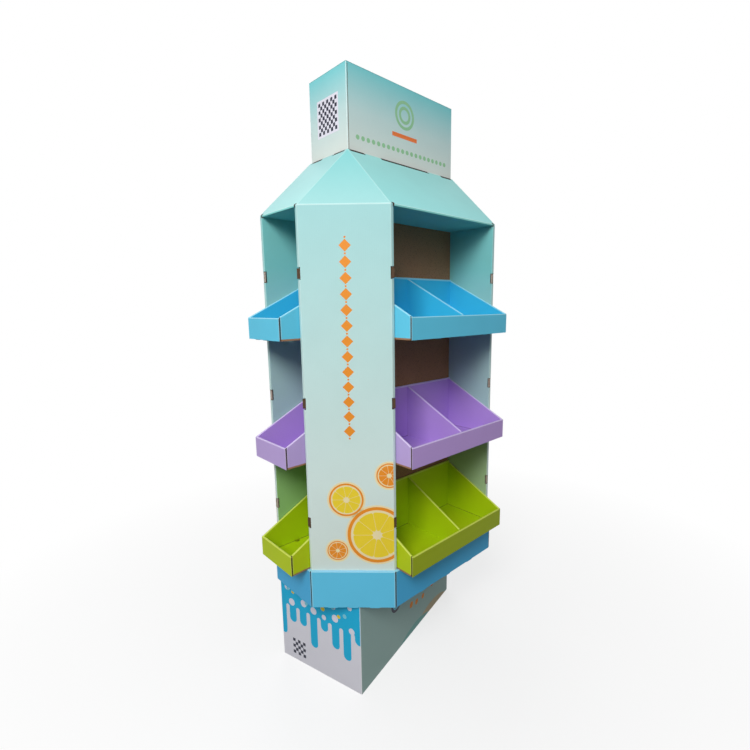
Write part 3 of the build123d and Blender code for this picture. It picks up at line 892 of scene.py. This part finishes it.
def print_pedestal_end(name, sign):
    # Scattered bubbles in the blue, and a small plain check at the foot of each end.
    meshes = [check_pattern(PEDESTAL_CHECK_PLACE, PEDESTAL_CHECK_HALF, PEDESTAL_CHECKS, 1)]
    meshes += [loose_dots(dots) for dots in BUBBLES]
    print_pedestal_panel(name, meshes, PEDESTAL_HALF_DEPTH, PEDESTAL_HALF_LENGTH, (sign, 0, 0))


DISC_PLACE = (-0.092, 0.172)
DISC_RADIUS = 0.030
DISC_INNER_RADIUS = 0.021


def print_pedestal_front(name, sign):
    # A navy disc with a pale middle on each long face, and green and orange dots beside it.
    meshes = [printed(MOTIF_ROWS, DISC_PLACE, 1, Radius=DISC_RADIUS, Ink=INKS["navy"])]
    meshes.append(printed(MOTIF_ROWS, DISC_PLACE, 2, Radius=DISC_INNER_RADIUS, Ink=INKS["pale_blue"]))
    meshes += [loose_dots(dots) for dots in SIDE_DOTS]
    print_pedestal_panel(name, meshes, PEDESTAL_HALF_LENGTH, PEDESTAL_HALF_DEPTH, (0, sign, 0))


def dress(names, material):
    # Gives pieces of the frame one material.
    for name in names:
        slots = nodes[name].data.materials
        slots.clear()
        slots.append(material)


def names_from(start):
    return [name for name in nodes if name.startswith(start)]


dress(["core"] + names_from("pedestal_rib"), kraft_board("kraft_board", KRAFT))
# The stiffening panels are one kraft board. Their ears are painted pale as painted light, and the near
# one's ears are painted dark as painted shade.
dress(names_from("column_liner"), kraft_board("kraft_liner", KRAFT_LIT))
dress(["column_liner_front_left"], kraft_board("kraft_liner_dark", KRAFT_SHADED))
dress([name for name in names_from("column_") if "liner" not in name], column_print())
dress(["roof"], roof_print())
dress(["header"], header_print())
dress(["base_tray"], base_print())
dress(["pedestal"], pedestal_print())
# Per level: outer print, long fronts darkened as painted shade on the lower levels, inner faces as
# painted bounce light, and the painted highlight.
for level, name, outer, long_front, inner, crease_highlight in (
    ("top", "blue_print_trays", "62CBEA", "62CBEA", "39C0EA", "B9E9F6"),
    ("middle", "purple_print_trays", "BFA7DF", "BFA0DF", "BB96E3", "E4D8F6"),
    ("bottom", "green_print_trays", "B8CE00", "9AAC00", "B4D10A", "DEE87A"),
):
    members = [n for n in names_from("tray_") + names_from("divider_") if n.endswith(level)]
    dress(members, tray_print(name, level, outer, long_front, inner, crease_highlight))
for end_name, sign_y in (("front", -1), ("back", 1)):
    print_header_front("print_header_" + end_name, sign_y)
    print_pedestal_front("print_pedestal_" + end_name, sign_y)
    for side_name, sign_x in (("left", -1), ("right", 1)):
        print_chamfer(end_name + "_" + side_name, sign_x, sign_y)
for side_name, sign_x in (("left", -1), ("right", 1)):
    print_header_side("print_header_" + side_name, sign_x)
    print_pedestal_end("print_pedestal_" + side_name, sign_x)


# The camera that took the photograph: its focal length and the picture's middle in pixels, and its place
PHOTO_SIDE = 750
FOCAL_PIXELS = 446.1
PRINCIPAL_X = 392.8
PRINCIPAL_Y = 381.6
CAMERA_PLACE = Vector((-0.98262, -1.04982, 1.09178))
CAMERA_FORWARD = Vector((0.68144, 0.71267, -0.16655))
CAMERA_UP = Vector((0.12218, 0.11361, 0.98599))
SENSOR = 36.0
CLIP_START = 0.05


def make_camera():
    # The camera stands where the photograph was taken from, near the front left corner.
    data = bpy.data.cameras.new("camera")
    camera = bpy.data.objects.new("camera", data)
    bpy.context.scene.collection.objects.link(camera)
    right = CAMERA_FORWARD.cross(CAMERA_UP).normalized()
    axes = Matrix((right, CAMERA_UP, -CAMERA_FORWARD)).transposed().to_4x4()
    camera.matrix_world = Matrix.Translation(CAMERA_PLACE) @ axes
    data.sensor_width = SENSOR
    data.lens = FOCAL_PIXELS / PHOTO_SIDE * SENSOR
    data.shift_x = 0.5 - PRINCIPAL_X / PHOTO_SIDE
    data.shift_y = PRINCIPAL_Y / PHOTO_SIDE - 0.5
    data.clip_start = CLIP_START
    bpy.context.scene.camera = camera


def seen_directly(tree):
    # 1 where the camera, a reflection or clear material looks, and 0 where only light arrives.
    path = add(tree, "ShaderNodeLightPath").outputs
    camera = Field(tree, path["Is Camera Ray"])
    return camera | path["Is Glossy Ray"] | path["Is Transmission Ray"]


FLOOR_HALF = 30.0
FLOOR_LIT = "5C5C5C"
FLOOR_SEEN = "F8F8F8"
SHADOW_NEAR = 0.5
SHADOW_FAR = 1.7
SHADOW_SHARE = 0.30


def make_floor():
    # Pale floor that is white to the camera, and keeps the object's shadow close to it.
    mesh = bpy.data.meshes.new("floor")
    corners = [(sx * FLOOR_HALF, sy * FLOOR_HALF, 0) for sx, sy in ((-1, -1), (1, -1), (1, 1), (-1, 1))]
    mesh.from_pydata(corners, [], [(0, 1, 2, 3)])
    floor = bpy.data.objects.new("floor", mesh)
    bpy.context.scene.collection.objects.link(floor)
    material, tree = start_material("pale_floor")
    surface = surface_of(tree)
    seen = seen_directly(tree)
    inputs = {0: seen, 6: colour(FLOOR_LIT), 7: colour(FLOOR_SEEN)}
    tone = add(tree, "ShaderNodeMix", inputs, data_type="RGBA").outputs[2]
    matt = add(tree, "ShaderNodeBsdfDiffuse", {"Color": tone})
    white = add(tree, "ShaderNodeEmission", {"Color": colour(WHITE), "Strength": 1.0})
    shadow = surface.x.away(surface.y).share(SHADOW_FAR, SHADOW_NEAR) * SHADOW_SHARE
    inputs = {0: seen & (shadow * -1.0 + 1.0), 1: matt.outputs[0], 2: white.outputs[0]}
    mix = add(tree, "ShaderNodeMixShader", inputs)
    add(tree, "ShaderNodeOutputMaterial", {0: mix.outputs[0]})
    mesh.materials.append(material)


AMBIENT = 0.34


def make_world():
    # Even white surroundings: full white where they are seen, weak as light on the object.
    world = bpy.data.worlds.new("studio")
    world.use_nodes = True
    bpy.context.scene.world = world
    tree = world.node_tree
    tree.nodes.clear()
    strength = seen_directly(tree) * (1 - AMBIENT) + AMBIENT
    background = add(tree, "ShaderNodeBackground", {"Color": colour(WHITE), "Strength": strength})
    add(tree, "ShaderNodeOutputWorld", {0: background.outputs[0]})


def soft_lamp(name, place, side, power):
    # A square lamp that faces the middle of the object.
    data = bpy.data.lights.new(name, "AREA")
    data.shape = "SQUARE"
    data.size = side
    data.energy = power
    lamp = bpy.data.objects.new(name, data)
    lamp.location = place
    middle = Vector((0, 0, header_top_z / 2))
    lamp.rotation_euler = (middle - Vector(place)).to_track_quat("-Z", "Y").to_euler()
    bpy.context.scene.collection.objects.link(lamp)


make_camera()
make_floor()
make_world()
soft_lamp("lamp_key", place=(-2.3, -1.5, 2.7), side=1.2, power=67)
soft_lamp("lamp_left", place=(-3.0, 0.1, 1.5), side=1.4, power=5)
soft_lamp("lamp_front", place=(-1.4, -1.4, 1.9), side=0.7, power=5)
soft_lamp("lamp_back", place=(2.0, 3.0, 2.6), side=2.2, power=40)
bpy.context.scene.view_settings.view_transform = "Standard"
